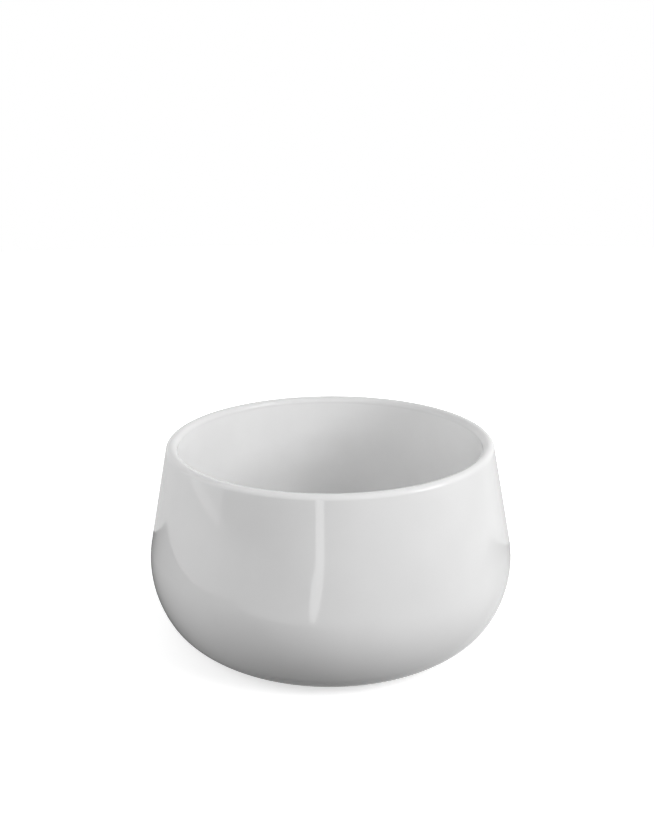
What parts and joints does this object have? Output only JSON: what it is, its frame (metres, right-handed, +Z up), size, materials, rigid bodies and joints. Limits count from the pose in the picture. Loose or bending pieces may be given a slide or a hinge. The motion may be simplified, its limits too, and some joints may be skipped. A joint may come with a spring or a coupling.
{
  "type": "countertop basin",
  "caption": "Round countertop basin in white glazed china, with a leaning wall, a rolled-under belly, a foot ring and a push-to-close waste.",
  "frame": {"origin": "centre of the plane that the foot ring rests on, on the axis of the bowl and of the waste", "axes": "+Z up along the axis of the bowl; the bowl is round, and -Y faces the camera of the picture; the waste's tail reaches below the foot plane, through the countertop's hole"},
  "size_m": [0.4, 0.4, 0.259],
  "materials": {
    "white_glaze": "gloss",
    "black_fitting": "satin",
    "black_rubber": "matte",
    "white_plastic": "satin",
    "brass": "satin",
    "steel": "satin"
  },
  "bodies": {
    "basin": {"basin_bowl": "white_glaze", "waste_body": "black_fitting", "flange_gasket": "black_rubber", "cone_washer": "black_rubber", "slip_washer": "white_plastic", "back_nut": "brass", "cartridge_housing": "brass", "cartridge_bush": "white_plastic", "stem_o_ring": "black_rubber", "follower_pin": "steel", "return_spring": "steel"},
    "plug": {"plunger": "brass", "spring_seat": "steel", "cap_lock_nut": "brass", "plug_cap": "black_fitting", "plug_seal": "black_rubber"},
    "drum": {"cam_drum": "white_plastic"}
  },
  "joints": [
    {"name": "plug_press", "type": "slide", "parent": "basin", "child": "plug", "axis": [0, 0, 1], "range_m": [-0.009, 0], "stiffness_N_per_m": 900, "springref_m": 0.006, "deforming": ["return_spring"]},
    {"name": "drum_turn", "type": "hinge", "parent": "plug", "child": "drum", "pos_m": [0, 0, 0], "axis": [0, 0, 1], "range_deg": [0, 36]}
  ],
  "couplings": [
    {"joint": "drum_turn", "follows": "plug_press", "rad_per_m": -69.8}
  ]
}
